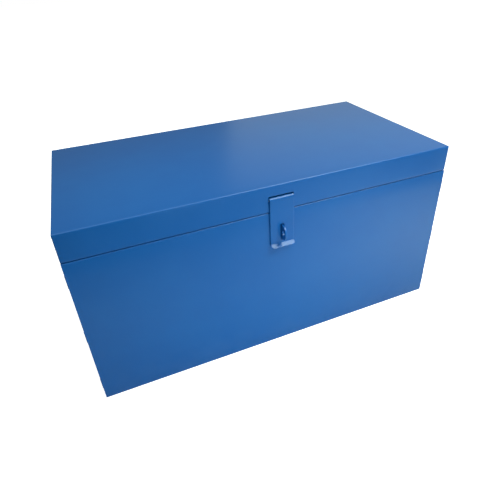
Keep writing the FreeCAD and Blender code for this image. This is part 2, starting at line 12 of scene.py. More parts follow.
import bmesh
import bpy
import numpy as np
from mathutils import Euler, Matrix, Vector


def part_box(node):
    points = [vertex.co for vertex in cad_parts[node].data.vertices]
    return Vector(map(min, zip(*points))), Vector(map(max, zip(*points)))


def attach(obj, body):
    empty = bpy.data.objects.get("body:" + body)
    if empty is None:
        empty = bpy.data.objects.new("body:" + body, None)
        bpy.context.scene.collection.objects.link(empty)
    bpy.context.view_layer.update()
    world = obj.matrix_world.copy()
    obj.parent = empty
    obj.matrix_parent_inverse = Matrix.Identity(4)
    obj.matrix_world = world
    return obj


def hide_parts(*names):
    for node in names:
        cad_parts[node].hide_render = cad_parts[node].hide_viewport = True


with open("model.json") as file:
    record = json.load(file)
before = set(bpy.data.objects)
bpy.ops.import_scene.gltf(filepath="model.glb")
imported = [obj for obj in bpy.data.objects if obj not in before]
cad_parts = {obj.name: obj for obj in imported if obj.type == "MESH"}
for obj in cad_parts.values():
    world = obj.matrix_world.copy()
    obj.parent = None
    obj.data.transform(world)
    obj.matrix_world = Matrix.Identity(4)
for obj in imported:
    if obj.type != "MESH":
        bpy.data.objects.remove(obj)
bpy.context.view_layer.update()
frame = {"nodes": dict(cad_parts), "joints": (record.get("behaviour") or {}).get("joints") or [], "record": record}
nodes = frame["nodes"]
MM = 0.001

# %% [markdown]
# ## Writing shader maths
# A finish is a small formula: so much dust here, so much wear there. Wiring it by hand hides the formula,
# so one class wraps a node's output. Python's own signs then add the Math nodes, and one method adds any
# other node.

# %% A wire that can be added and multiplied
MIX_COLOUR = {"factor": 0, "a": 6, "b": 7, "result": 2}


class Wire:
    """One output of a node. Arithmetic on it adds Math nodes to the same tree."""

    def __init__(self, tree, socket):
        self.tree = tree
        self.socket = socket

    @classmethod
    def node(cls, tree, kind, settings=None, inputs=None, output=0):
        """Adds a node, sets it, then fills its inputs with numbers, colours or wires."""
        made = tree.nodes.new("ShaderNode" + kind)
        for name, value in (settings or {}).items():
            setattr(made, name, value)
        for name, value in (inputs or {}).items():
            if isinstance(value, Wire):
                tree.links.new(value.socket, made.inputs[name])
            else:
                made.inputs[name].default_value = value
        return cls(tree, made.outputs[output]) if made.outputs else None

    def math(self, operation, *others):
        """A Math node with this wire as its first input and the others after it."""
        inputs = dict(enumerate((self, *others)))
        return Wire.node(self.tree, "Math", {"operation": operation}, inputs)

    def __add__(self, other):
        return self.math("ADD", other)

    def __sub__(self, other):
        return self.math("SUBTRACT", other)

    def __mul__(self, other):
        return self.math("MULTIPLY", other)

    def __rsub__(self, other):
        return Wire.node(self.tree, "Math", {"operation": "SUBTRACT"}, {0: other, 1: self})

    __radd__ = __add__
    __rmul__ = __mul__

    def ramp(self, low, high):
        """0 below low, 1 above high, and a smooth step between them."""
        inputs = {"Value": self, "From Min": low, "From Max": high}
        return Wire.node(self.tree, "MapRange", {"interpolation_type": "SMOOTHSTEP"}, inputs)

    def blend(self, first, second):
        """The first colour where this wire is 0, the second where it is 1."""
        inputs = {MIX_COLOUR["factor"]: self, MIX_COLOUR["a"]: first, MIX_COLOUR["b"]: second}
        return Wire.node(self.tree, "Mix", {"data_type": "RGBA"}, inputs, MIX_COLOUR["result"])


print("Shader maths ready")

# %% [markdown]
# ## The blue enamel
# The real box is sprayed after welding. The coat is semi-gloss: it has the fine dimples of sprayed paint,
# drifts a little in depth where the gun overlapped, and thins on sharp edges. An image texture could show
# that from one side only, so noise in object coordinates carries it over every face. A Bevel node gives the
# solids that keep their shape a softly rounded edge in the light, as a coat of paint does.

# %% Start and end of a finish
def new_finish(name):
    """An empty material, its tree and the place of a point in the frame, in metres."""
    material = bpy.data.materials.new(name)
    material.use_nodes = True
    tree = material.node_tree
    tree.nodes.clear()
    place = Wire.node(tree, "TexCoord", output="Object")
    return material, tree, place


def noise(place, scale, detail=2):
    """Smooth noise from 0 to 1, with so many lumps per metre and so many layers of finer lumps on them."""
    return Wire.node(place.tree, "TexNoise", {}, {"Vector": place, "Scale": scale, "Detail": detail})


def close_finish(material, tree, constants, varying):
    """A Principled shader: constants are set on its sockets, varying ones are linked."""
    shader = Wire.node(tree, "BsdfPrincipled", {}, {**constants, **varying})
    Wire.node(tree, "OutputMaterial", {}, {"Surface": shader})
    return material


print("Finishes read places in metres")

# %% Edges and dimples
PAINT_EDGE = 0.5 * MM
EDGE_SAMPLES = 6


def soft_edge(tree, width):
    """The normal of a face whose edges are rounded to this width."""
    return Wire.node(tree, "Bevel", {"samples": EDGE_SAMPLES}, {"Radius": width})


def edge_mask(tree, rounded):
    """1 minus the rounded normal times the face's own: 0 on a flat sheet, towards 1 on an edge."""
    facing = Wire.node(tree, "NewGeometry", output="Normal")
    inputs = {0: rounded, 1: facing}
    return 1 - Wire.node(tree, "VectorMath", {"operation": "DOT_PRODUCT"}, inputs, output="Value")


def dimples(tree, strength, depth, height):
    """A normal that a height pattern of this depth bends, on top of the softly rounded edges."""
    return Wire.node(tree, "Bump", {}, {
        "Strength": strength, "Distance": depth, "Height": height, "Normal": soft_edge(tree, PAINT_EDGE)})


print(f"Painted edges are {PAINT_EDGE / MM} mm wide")

# %% Colours and patterns of the enamel
BLUE = (0.009, 0.121, 0.415, 1)
BLUE_DEEP = (0.008, 0.111, 0.398, 1)
BLUE_THIN = (0.075, 0.230, 0.520, 1)
DUST = (0.30, 0.33, 0.36, 1)
STEEL = (0.42, 0.42, 0.43, 1)
# Lumps per metre of each pattern in the coat, from the widest to the finest
DRIFT, CLOUD, CHIPS, PEEL, GRIT = 3.2, 23, 160, 360, 900
COAT_STEPS, THIN_STEPS, DUST_STEPS = (0.35, 0.65), (0.10, 0.42), (0.45, 0.95)
BARE_FROM, BARE_TO, BARE_EASE = 0.62, 0.80, 0.3
THIN_SHARE, DUST_SHARE, BARE_METAL = 0.35, 0.03, 0.8
WORN_EDGE = 1.2 * MM
DUST_TOP = 90 * MM
COAT_ROUGH = 0.205
PEEL_STRENGTH, PEEL_DEPTH = 0.12, 0.08 * MM
print(f"Dimples of {1000 / PEEL:.1f} mm, drifts of {1000 / DRIFT:.0f} mm")

# %% Enamel
RUBBED = 0.35


def blue_enamel(name, wear):
    """Sprayed enamel. Wear from 0 to 1 sets how much of the coat is rubbed off the edges.

    The colour runs from deep to full blue with drift and cloud. It goes towards thin paint on edges, towards
    steel where an edge is chipped, and towards dust near the floor. The roughness is one value plus small
    shares of the same patterns.
    """
    material, tree, place = new_finish(name)
    drift = noise(place, DRIFT)
    cloud = noise(place, CLOUD, 3)
    chips = noise(place, CHIPS, 3)
    peel = noise(place, PEEL, 1)
    grit = noise(place, GRIT, 1)
    height = Wire.node(tree, "SeparateXYZ", {}, {"Vector": place}, output="Z")

    coat = (drift * 0.7 + cloud * 0.3).ramp(*COAT_STEPS).blend(BLUE_DEEP, BLUE)
    edge = edge_mask(tree, soft_edge(tree, WORN_EDGE))
    thin = (edge * (0.6 + cloud)).ramp(*THIN_STEPS)
    coat = (thin * THIN_SHARE).blend(coat, BLUE_THIN)
    ease = BARE_EASE * wear
    bare = (edge * (cloud + chips)).ramp(BARE_FROM - ease, BARE_TO - ease) * wear
    coat = bare.blend(coat, STEEL)
    low = 1 - height.ramp(0.0, DUST_TOP)
    dusty = low * DUST_SHARE * (cloud + grit * 0.5).ramp(*DUST_STEPS)
    coat = dusty.blend(coat, DUST)

    rough = COAT_ROUGH + drift * 0.04 + cloud * 0.03 + dusty * 0.1
    normal = dimples(tree, PEEL_STRENGTH, PEEL_DEPTH, peel)
    constants = {"IOR": 1.5, "Specular IOR Level": 0.5}
    varying = {"Base Color": coat, "Roughness": rough, "Metallic": bare * BARE_METAL, "Normal": normal}
    return close_finish(material, tree, constants, varying)


enamel = blue_enamel("blue_enamel", 0.0)
rubbed_enamel = blue_enamel("blue_enamel_rubbed", RUBBED)
print(f"{enamel.name} and {rubbed_enamel.name}: {len(enamel.node_tree.nodes)} nodes each")

# %% [markdown]
# ## Zinc and rubber
# Pins, studs, stay arms and the carrying handles are left in bright zinc plate, because enamel would rub
# off where they turn. The plate has a fine spangle of crystals, so a Voronoi pattern shifts its tone and
# gloss from grain to grain. The seal on the rim is black sponge rubber with open pores, which are another
# Voronoi pattern, pressed in as a bump. One grey and one black would do from afar, but the lid opens and
# shows both close by.

# %% Zinc plate
ZINC_BRIGHT = (0.66, 0.68, 0.70, 1)
ZINC_DULL = (0.46, 0.48, 0.50, 1)
# Lumps per metre, as in the enamel
SPANGLE, TARNISH, SCRATCHES = 260, 60, 1400
TONE_STEPS = (0.25, 0.75)
ZINC_ROUGH = 0.29
SCRATCH_STRENGTH, SCRATCH_DEPTH = 0.15, 0.03 * MM


def zinc_plate():
    """Zinc whose tone and roughness are shares of spangle and tarnish, with scratches in the roughness."""
    material, tree, place = new_finish("zinc_plate")
    inputs = {"Vector": place, "Scale": SPANGLE}
    spangle = Wire.node(tree, "TexVoronoi", {"feature": "F1"}, inputs, output="Color")
    grain = Wire.node(tree, "SeparateColor", {}, {"Color": spangle}, output="Red")
    tarnish = noise(place, TARNISH, 3)
    scratch = noise(place, SCRATCHES)
    colour = (grain * 0.4 + tarnish * 0.6).ramp(*TONE_STEPS).blend(ZINC_DULL, ZINC_BRIGHT)
    rough = ZINC_ROUGH + grain * 0.10 + scratch * 0.08 + tarnish * 0.06
    normal = dimples(tree, SCRATCH_STRENGTH, SCRATCH_DEPTH, scratch + grain * 0.4)
    varying = {"Base Color": colour, "Roughness": rough, "Normal": normal}
    return close_finish(material, tree, {"Metallic": 1.0}, varying)


zinc = zinc_plate()
print(f"{zinc.name}: {len(zinc.node_tree.nodes)} nodes")

# %% Sponge rubber
RUBBER_DARK = (0.008, 0.008, 0.010, 1)
RUBBER_GREY = (0.024, 0.024, 0.027, 1)
PORES, BLOOM = 1300, 40
BLOOM_STEPS = (0.35, 0.75)
RUBBER_ROUGH = 0.72
PORE_STRENGTH, PORE_DEPTH = 0.5, 0.15 * MM


def sponge_rubber():
    """Dull rubber: its pores are the distance to the nearest Voronoi point, and a bloom greys it in clouds."""
    material, tree, place = new_finish("sponge_rubber")
    inputs = {"Vector": place, "Scale": PORES}
    pores = Wire.node(tree, "TexVoronoi", {"feature": "F1"}, inputs, output="Distance")
    bloom = noise(place, BLOOM, 3)
    colour = bloom.ramp(*BLOOM_STEPS).blend(RUBBER_DARK, RUBBER_GREY)
    inputs = {"Strength": PORE_STRENGTH, "Distance": PORE_DEPTH, "Height": pores}
    normal = Wire.node(tree, "Bump", {}, inputs)
    varying = {"Base Color": colour, "Roughness": RUBBER_ROUGH + bloom * 0.2, "Normal": normal}
    return close_finish(material, tree, {"Specular IOR Level": 0.2}, varying)


rubber = sponge_rubber()
print(f"{rubber.name}: {len(rubber.node_tree.nodes)} nodes")

# %% Finishes on the solids
finishes = {"blue_enamel": enamel, "zinc_steel": zinc, "black_rubber": rubber}
slot_of = {row["node"]: row["material_slot"] for row in frame["record"]["subparts"]}
for name, solid in nodes.items():
    solid.data.materials.clear()
    solid.data.materials.append(finishes[slot_of[name]])
print(f"{len(finishes)} finishes on {len(nodes)} nodes")

# %% [markdown]
# ## Surfaces from arrays
# Each new piece is a grid of points. A row of the grid is a cross-section, the rows follow a path, and
# numpy works out the whole array at once. Modelling by hand with loop cuts would give the same shape, but a
# formula keeps the true radius of every bend and can be changed by one number.

# %% Faces of a grid
def skin(points, wrap_rows=False, wrap_columns=False, keep=None):
    """The quads of a grid of points (rows, columns, 3). A wrapped side joins its last line to its first."""
    rows, columns = points.shape[:2]
    index = np.arange(rows * columns).reshape(rows, columns)
    if wrap_rows:
        index = np.vstack([index, index[:1]])
    if wrap_columns:
        index = np.hstack([index, index[:, :1]])
    quads = np.stack([index[:-1, :-1], index[1:, :-1], index[1:, 1:], index[:-1, 1:]], axis=-1)
    quads = quads.reshape(-1, 4) if keep is None else quads[keep]
    return points.reshape(-1, 3), quads


print(f"A grid of 3 by 4 points has {len(skin(np.zeros((3, 4, 3)))[1])} quads")

# %% Grids into pieces
SMOOTH_BELOW = math.radians(38)
WELD = 1e-6


def make_piece(name, skins, body, finish, replaced=()):
    """One object out of several skins: meeting points are welded, faces turn outwards, the piece rides."""
    starts = np.cumsum([0] + [len(points) for points, _ in skins])
    points = np.vstack([points for points, _ in skins])
    faces = np.vstack([quads + start for (_, quads), start in zip(skins, starts)])
    mesh = bpy.data.meshes.new(name)
    mesh.from_pydata(points.tolist(), [], faces.tolist())
    work = bmesh.new()
    work.from_mesh(mesh)
    bmesh.ops.remove_doubles(work, verts=work.verts, dist=WELD)
    bmesh.ops.dissolve_degenerate(work, edges=work.edges, dist=WELD)
    bmesh.ops.recalc_face_normals(work, faces=work.faces)
    open_edges = sum(not edge.is_manifold for edge in work.edges)
    work.to_mesh(mesh)
    work.free()
    mesh.shade_smooth()
    mesh.set_sharp_from_angle(angle=SMOOTH_BELOW)
    mesh.materials.append(finish)
    piece = bpy.data.objects.new(name, mesh)
    bpy.context.scene.collection.objects.link(piece)
    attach(piece, body)
    if replaced:
        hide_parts(*replaced)
    print(f"{name}: {len(mesh.polygons)} faces, {open_edges} open edges")


print(f"Points closer than {WELD / MM} mm are welded")

# %% Arcs and directions
def arc(centre, radius, begin, end, steps):
    """Points on a circle between two angles in degrees, and the direction of travel at each of them."""
    angle = np.radians(np.linspace(begin, end, steps + 1))
    points = np.array(centre) + radius * np.stack([np.cos(angle), np.sin(angle)], axis=-1)
    travel = np.sign(end - begin) * np.stack([-np.sin(angle), np.cos(angle)], axis=-1)
    return points, travel


def left_of(travel):
    """Each direction of travel turned to the left by a quarter: (x, y) becomes (-y, x)."""
    return np.stack([-travel[:, 1], travel[:, 0]], axis=-1)


def distance_along(line):
    """How far each point of a line is from its start: the lengths of the steps before it, added up."""
    return np.concatenate([[0], np.cumsum(np.linalg.norm(np.diff(line, axis=0), axis=1))])


BEND_STEPS = 6
bend_length = distance_along(arc((0, 0), 1, 0, 90, BEND_STEPS)[0])[-1]
print(f"A quarter turn of radius 1 in {BEND_STEPS} steps is {bend_length:.3f} long")

# %% Bent lines
def bent_line(corners, radii, extra=None, steps=BEND_STEPS):
    """A line through the corners with a round bend at each inner one: points and directions of travel.

    At a corner with turn t, the bend starts radius * tan(t / 2) before it. Extra gives, for a straight run by
    its number, distances from the run's start where more points are wanted.
    """
    corners = np.array(corners, float)
    runs = np.diff(corners, axis=0)
    ways = runs / np.linalg.norm(runs, axis=1)[:, None]
    points = [corners[:1]]
    travel = [ways[:1]]
    for i, way in enumerate(ways):
        wanted = np.array((extra or {}).get(i, ()), float)
        points.append(corners[i] + wanted[:, None] * way)
        travel.append(np.repeat(way[None], len(wanted), axis=0))
        if i == len(radii):
            break
        after = ways[i + 1]
        turn = math.atan2(way[0] * after[1] - way[1] * after[0], way @ after)
        start = corners[i + 1] - way * radii[i] * math.tan(abs(turn) / 2)
        to_start = math.copysign(1, turn) * radii[i] * np.array([way[1], -way[0]])
        first = math.degrees(math.atan2(to_start[1], to_start[0]))
        bend = arc(start - to_start, radii[i], first, first + math.degrees(turn), steps)
        points.append(bend[0])
        travel.append(bend[1])
    points.append(corners[-1:])
    travel.append(ways[-1:])
    return np.vstack(points), np.vstack(travel)


print("Bent lines ready")

# %% [markdown]
# ## The lid
# The lid is one sheet folded down on four sides into a shallow tray, with its lower edge returned inwards
# so that no raw edge is left to cut a hand. A bevelled cube would have no inside. Here the sheet's middle
# line is drawn once as a section, given its thickness on both sides, and carried round the four sides. The
# top is a large free sheet, so it is crowned by a fraction of a millimetre, which makes its reflection
# drift.

# %% Sheet sizes
SHEET = 1.2 * MM
HALF_SHEET = SHEET / 2
MIDDLE_BEND = 1.6 * MM
OUTER_BEND = MIDDLE_BEND + HALF_SHEET
ARRIS = 0.3 * MM
lid_low, lid_high = np.array(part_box("lid_shell"))
body_low, body_high = np.array(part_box("body_wrap"))
HALF = lid_high[:2]
joint_at = {joint["name"]: np.array(joint["pos_m"]) for joint in frame["joints"]}
print(f"Lid {lid_high - lid_low} m, body {body_high - body_low} m")

# %% A section carried round the box
CORNER_STEPS = 4


def around(front, side):
    """Stations round a rectangle: a place on the unit square, and the direction that points outwards there.

    Front and side are places from -1 to 1 along a side. Each corner is a quarter turn between two sides.
    """
    turns = np.radians(np.linspace(0, 90, CORNER_STEPS + 1)[1:-1])
    marks = []
    ways = []
    for quarter, run in enumerate((front, side, front, side)):
        facing = math.radians(90 * quarter - 90)
        across = np.array([-math.sin(facing), math.cos(facing)])
        out = np.array([math.cos(facing), math.sin(facing)])
        marks.append(out + run[:, None] * across)
        ways.append(np.repeat(out[None], len(run), axis=0))
        angle = facing + turns
        marks.append(np.repeat((out + across)[None], len(turns), axis=0))
        ways.append(np.stack([np.cos(angle), np.sin(angle)], axis=-1))
    return np.vstack(marks), np.vstack(ways)


def carried_round(marks, ways, section, corner):
    """A section of (inset, height) carried round the box: points (stations, section, 3).

    The corner's centre lies max(inset, corner) inside the walls. The point stands corner - inset out from it.
    """
    inset = section[:, 0]
    core = HALF - np.maximum(inset, corner)[:, None]
    reach = np.maximum(corner - inset, 0)
    flat = marks[:, None] * core + ways[:, None] * reach[:, None]
    height = np.broadcast_to(section[:, 1], flat.shape[:2])
    return np.concatenate([flat, height[..., None]], axis=-1)


print(f"{CORNER_STEPS} steps round a corner of {OUTER_BEND / MM:.1f} mm")

# %% Section of the lid
LID_RETURN = 12 * MM
SLOT_HALF, SLOT_BELOW, SLOT_ABOVE = 26.3 * MM, 6.45 * MM, 9 * MM
hasp_axis = joint_at["hasp_hinge"]
SLOT_LOW = hasp_axis[2] - SLOT_BELOW
SLOT_HIGH = hasp_axis[2] + SLOT_ABOVE

lid_base = lid_low[2] + HALF_SHEET
lid_top = lid_high[2] - HALF_SHEET
skirt_marks = [6 * MM, SLOT_LOW - lid_base, SLOT_HIGH - lid_base, 48 * MM]
top_marks = np.array([4, 8, 20, 50, 90, 130, 165, 185]) * MM
line, travel = bent_line(
    [(LID_RETURN, lid_base), (HALF_SHEET, lid_base), (HALF_SHEET, lid_top), (HALF[1], lid_top)],
    [MIDDLE_BEND, MIDDLE_BEND], {0: [ARRIS], 1: skirt_marks, 2: top_marks})
out = left_of(travel) * HALF_SHEET
edge = line[:1] + np.array([[0, 1], [0, -1]]) * (HALF_SHEET - ARRIS)
outside = (line + out)[:0:-1]
inside = (line - out)[1:]
section = np.vstack([outside, edge[::-1], inside])
print(f"Lid section: {len(section)} points")

# %% Lid tray with its slot
TOP_CROWN = 0.6 * MM
LID_LONG, LID_SHORT = 17, 9
mouth = np.array([-SLOT_HALF, SLOT_HALF]) / (HALF[0] - OUTER_BEND)
long_side = np.unique(np.concatenate([np.linspace(-1, 1, LID_LONG), mouth]))
marks, ways = around(long_side, np.linspace(-1, 1, LID_SHORT))
shell = carried_round(marks, ways, section, OUTER_BEND)
# The crown is highest in the middle and falls to nothing at the edges, as a parabola each way
crown = TOP_CROWN * (1 - (shell[..., 0] / HALF[0]) ** 2) * (1 - (shell[..., 1] / HALF[1]) ** 2)
shell[..., 2] += np.where(section[:, 1] > lid_top - SHEET, crown, 0)

# The slot's faces are left out on both sides of the sheet, and four strips line the cut between them
skirt_low, skirt_high = (
    np.argmin(np.abs(outside[:, 1] - z) + outside[:, 0]) for z in (SLOT_LOW, SLOT_HIGH))
mouth_start, mouth_end = (np.argmin(np.abs(long_side - u)) for u in mouth)
mirror = len(section) - 1
keep = np.ones((len(marks), mirror), bool)
keep[mouth_start:mouth_end, skirt_high:skirt_low] = False
keep[mouth_start:mouth_end, mirror - skirt_low:mirror - skirt_high] = False
skins = [skin(shell, wrap_rows=True, keep=keep)]
band = slice(skirt_high, skirt_low + 1)
for station in (mouth_start, mouth_end):
    skins.append(skin(np.stack([shell[station, band], shell[station, ::-1][band]])))
run = slice(mouth_start, mouth_end + 1)
for column in (skirt_low, skirt_high):
    skins.append(skin(np.stack([shell[run, column], shell[run, mirror - column]])))
make_piece("lid_tray", skins, "lid", enamel, ["lid_shell"])

# %% [markdown]
# ## The body
# One long sheet makes the front, bottom and back, and its top edges turn in as a rim. Two end panels close
# it. An extruded curve could give the wrap, but not its free edges. Here it is again a middle line with a
# thickness, this time carried straight from end to end. Sheet walls of this size never stay quite flat, so
# front and back bulge by less than half a millimetre.

# %% Sheet carried along the box
def strip_loop(line, travel, half_thick, arris):
    """A closed loop round a sheet's middle line: one face out, an end, the other face back, the other end."""
    side = left_of(travel) * half_thick
    near = line.copy()
    near[0] += travel[0] * arris
    near[-1] -= travel[-1] * arris
    end = line[-1:] + side[-1:] * np.array([[1], [-1]]) * (1 - arris / half_thick)
    start = line[:1] + side[:1] * np.array([[-1], [1]]) * (1 - arris / half_thick)
    return np.vstack([near + side, end, (near - side)[::-1], start])


def strip_caps(loop_points, count):
    """The face that closes a carried sheet's end: quads between its two sides, and one at each free edge."""
    left = np.arange(count)
    right = 2 * count + 1 - left
    fan = np.stack([left[:-1], left[1:], right[1:], right[:-1]], axis=-1)
    tips = np.array([
        [count - 1, count, count + 1, count + 2],
        [2 * count + 3, 0, 2 * count + 1, 2 * count + 2]])
    return loop_points, np.vstack([fan, tips])


def carried_along(line, travel, stations, half_thick, arris):
    """A sheet's middle line in (y, z) carried along x: points (stations, loop, 3).

    The first and last loops are thinner by an arris on each side, which breaks the edges of both ends.
    """
    full = strip_loop(line, travel, half_thick, arris)
    thin = strip_loop(line, travel, half_thick - arris, arris / 2)
    low, high = stations[0], stations[-1]
    places = np.concatenate([[low, low + arris], stations[1:-1], [high - arris, high]])
    loops = np.stack([thin] + [full] * (len(places) - 2) + [thin])
    across = np.broadcast_to(places[:, None, None], (*loops.shape[:2], 1))
    return np.concatenate([across, loops], axis=-1)


print(f"Edges of the sheet are broken by {ARRIS / MM} mm")

# %% Body sheet
WALL_BULGE = 0.4 * MM
RIM_RETURN = 16 * MM
BODY_STATIONS, WALL_STATIONS, FLOOR_STATIONS = 15, 7, 5
wall_top = body_high[2] - HALF_SHEET
wall_y = HALF[1] - HALF_SHEET
rim_y = HALF[1] - RIM_RETURN
wall_marks = np.linspace(0.1, 0.9, WALL_STATIONS) * (wall_top - HALF_SHEET)
floor_marks = np.linspace(0.1, 0.9, FLOOR_STATIONS) * 2 * wall_y
line, travel = bent_line(
    [(-rim_y, wall_top), (-wall_y, wall_top), (-wall_y, HALF_SHEET),
     (wall_y, HALF_SHEET), (wall_y, wall_top), (rim_y, wall_top)],
    [MIDDLE_BEND] * 4, {1: wall_marks, 2: floor_marks, 3: wall_marks})
lengths = np.linspace(-HALF[0], HALF[0], BODY_STATIONS)
wrap = carried_along(line, travel, lengths, HALF_SHEET, ARRIS)
# Front and back bulge as a parabola along the box and as half a wave up the wall
on_wall = np.abs(wrap[..., 1]) > HALF[1] - 2 * SHEET
up = np.clip(wrap[..., 2] / body_high[2], 0, 1)
swell = (1 - (wrap[..., 0] / HALF[0]) ** 2) * np.sin(math.pi * up)
wrap[..., 1] += np.sign(wrap[..., 1]) * on_wall * WALL_BULGE * swell
caps = [strip_caps(wrap[end], len(line)) for end in (0, -1)]
skins = [skin(wrap, wrap_columns=True), *caps]
make_piece("body_sheet", skins, "box", enamel, ["body_wrap"])

# %% [markdown]
# ## The seal
# A strip of sponge rubber is glued along the rim, with a domed top that the lid presses. A tube would roll
# off the rim. Its section is a flat base under a dome that is a little fuller than half an ellipse, and it
# is carried round the box like the lid's.

# %% Rim seal
SEAL_STEPS, SEAL_LONG, SEAL_SHORT = 12, 9, 5
SEAL_WIDTH = 8 * MM
DOME_POWER = 0.5
seal_low, seal_high = np.array(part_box("rim_gasket"))
seal_inset = HALF[0] - seal_high[0]
bend = np.linspace(0, math.pi, SEAL_STEPS + 1)
dome = np.stack([
    seal_inset + SEAL_WIDTH / 2 * (1 - np.cos(bend)),
    seal_low[2] + (seal_high[2] - seal_low[2]) * np.sin(bend) ** DOME_POWER], axis=-1)
marks, ways = around(np.linspace(-1, 1, SEAL_LONG), np.linspace(-1, 1, SEAL_SHORT))
seal = carried_round(marks, ways, dome, OUTER_BEND)
make_piece("rim_seal", [skin(seal, True, True)], "box", rubber, ["rim_gasket"])

# %% [markdown]
# ## Flat bars with a slot
# The hasp bar, the staple's eye, the stay arms and the handle ears are all flat bars with an edge broken by
# a file. Boolean cuts would leave ragged faces round the slot. Instead each bar is two halves: at every
# station along it a half runs from the slot's edge to the outer edge, and where there is no slot the halves
# meet on the middle line. Widths and thicknesses of bars are therefore given as halves, from the middle
# outwards.

# %% Section of half a bar
ARRIS_STEPS = 3
SUPPORT = 0.06


def half_section(outer, inner, half_thick, arris):
    """Loops (stations, points, 2) round half a bar, from inner to outer edge, with all four edges rounded.

    A rounded edge is a quarter circle of the arris radius. It shrinks to nothing where the slot closes.
    """
    angle = np.linspace(0, math.pi / 2, ARRIS_STEPS + 1)
    outer, inner, half_thick = outer[:, None], inner[:, None], half_thick[:, None]
    inner_round = np.minimum(arris, inner)
    outer_round = np.minimum(arris, (outer - inner) / 2)
    support = (outer - inner) * SUPPORT
    u = np.hstack([
        inner + inner_round * (1 - np.cos(angle)),
        inner + inner_round + support,
        outer - outer_round - support,
        outer - outer_round * (1 - np.sin(angle))])
    v = np.hstack([
        half_thick - np.minimum(inner_round, half_thick) * (1 - np.sin(angle)),
        half_thick, half_thick,
        half_thick - np.minimum(outer_round, half_thick) * (1 - np.cos(angle))])
    front = np.stack([u, v], axis=-1)
    back = np.stack([u, -v], axis=-1)[:, ::-1]
    return np.concatenate([front, back], axis=1)


print(f"{4 * ARRIS_STEPS + 8} points round half a bar, {ARRIS_STEPS} steps in a filed edge")

# %% Skins of a bar
def bar_skins(centre, across, normal, outer, inner, half_thick, arris):
    """The skins of a bar. Centre (stations, 3) is its middle line, outer and inner its half widths there."""
    normal = np.broadcast_to(normal, centre.shape)
    loops = half_section(outer, inner, half_thick, arris)
    half = loops.shape[1] // 2
    keep = np.ones((len(centre) - 1, 2 * half), bool)
    keep[:, -1] = (inner[:-1] > WELD) | (inner[1:] > WELD)
    skins = []
    for side in (-1, 1):
        sideways = side * loops[..., :1] * np.array(across)
        points = centre[:, None] + sideways + loops[..., 1:] * normal[:, None]
        skins.append(skin(points, wrap_columns=True, keep=keep))
        for end in (0, -1):
            skins.append(skin(np.stack([points[end, :half], points[end, half:][::-1]])))
    return skins


print("A bar has two halves, each with a skin round it and two ends")

# %% Ends and holes of a bar
END_STEPS, CUT_STEPS, HOLE_STEPS = 8, 4, 10


def rounded_off(distance, full, radius):
    """A half width or half thickness at a distance from an end that is rounded off by a radius."""
    short = np.clip(radius - distance, 0, radius)
    return full - radius + np.sqrt(radius ** 2 - short ** 2)


def hole(place, centre, radius, straight=0.0):
    """Half width of a round hole at a place along the bar, or of a slot with a straight stretch each way."""
    off = np.clip(np.abs(place - centre) - straight, 0, None)
    return np.sqrt(np.clip(radius ** 2 - off ** 2, 0, None))


def closing_in(radius, steps=END_STEPS):
    """Distances from an end that step evenly round a quarter circle: radius * (1 - cos(angle))."""
    return radius * (1 - np.cos(np.linspace(0, math.pi / 2, steps + 1)))


def hole_marks(centre, radius, straight=0.0):
    """Places that step evenly round a hole's two ends: radius * sin(angle) beyond its straight stretch."""
    swing = radius * np.sin(np.linspace(0, math.pi / 2, HOLE_STEPS + 1))
    return np.concatenate([centre + straight + swing, centre - straight - swing])


def sorted_marks(*marks):
    """All the places in rising order, each of them once."""
    return np.unique(np.round(np.concatenate([np.atleast_1d(m) for m in marks]), 8))


print(f"{END_STEPS} steps round an end, {2 * HOLE_STEPS} round half a hole")

# %% Straight bars
X, Y, Z = np.eye(3)


def flat_bar(start, along, across, normal, marks, half_width, half_thick, arris,
             corners=(0, 0), holes=(), flare=0):
    """A straight bar: marks are places along it, corners the radii of its two ends.

    Holes are rows of (place, radius, straight). A flare widens the bar's start by a concave quarter circle of
    that radius, as where an ear leaves its plate.
    """
    marks = sorted_marks(marks)
    outer = np.full(len(marks), half_width)
    thick = np.full(len(marks), half_thick)
    for distance, radius in ((marks - marks[0], corners[0]), (marks[-1] - marks, corners[1])):
        if radius:
            outer = np.minimum(outer, rounded_off(distance, half_width, radius))
            thick = np.minimum(thick, rounded_off(distance, half_thick, arris))
    outer = outer - rounded_off(marks - marks[0], 0, flare)
    inner = np.max([np.zeros(len(marks))] + [hole(marks, *row) for row in holes], axis=0)
    centre = np.array(start) + marks[:, None] * np.array(along)
    return bar_skins(centre, across, np.array(normal, float), outer, inner, thick, arris)


print("Straight bars ready")

# %% [markdown]
# ## The hasp bar
# A flat bar, bent back at the top through a slot in the lid's skirt and rolled round a pin inside, with a
# finger lip turned out at its foot. Bending a finished bar with a modifier would stretch its slot. So its
# middle line is drawn as the smith would bend it: roll, neck, bend, flat, lip. Width, slot and thickness
# are then given along that line, and the arris follows every bend.

# %% Line of the hasp bar
BAR_HALF, BAR_THICK, BAR_ARRIS = 25.5 * MM, 1.5 * MM, 0.7 * MM
BAR_GAP = 1 * MM
ROLL_RADIUS, ROLL_FROM, ROLL_TO, ROLL_STEPS = 4.55 * MM, -140, 90, 18
NECK_BEND, LIP_BEND = 3 * MM, 3.5 * MM
LIP_REACH, LIP_CORNER = 10.75 * MM, 6 * MM
LIP_TURN = math.radians(53)
LIP_KINK = 97.25 * MM
BELOW_NECK, ABOVE_KINK, PAST_KINK = (5 * MM, 25 * MM), 2.6 * MM, 2.5 * MM
STAPLE_SLOT = (4 * MM, 15 * MM)
staple_low, staple_high = np.array(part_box("padlock_staple"))
eye_z = (staple_low[2] + staple_high[2]) / 2

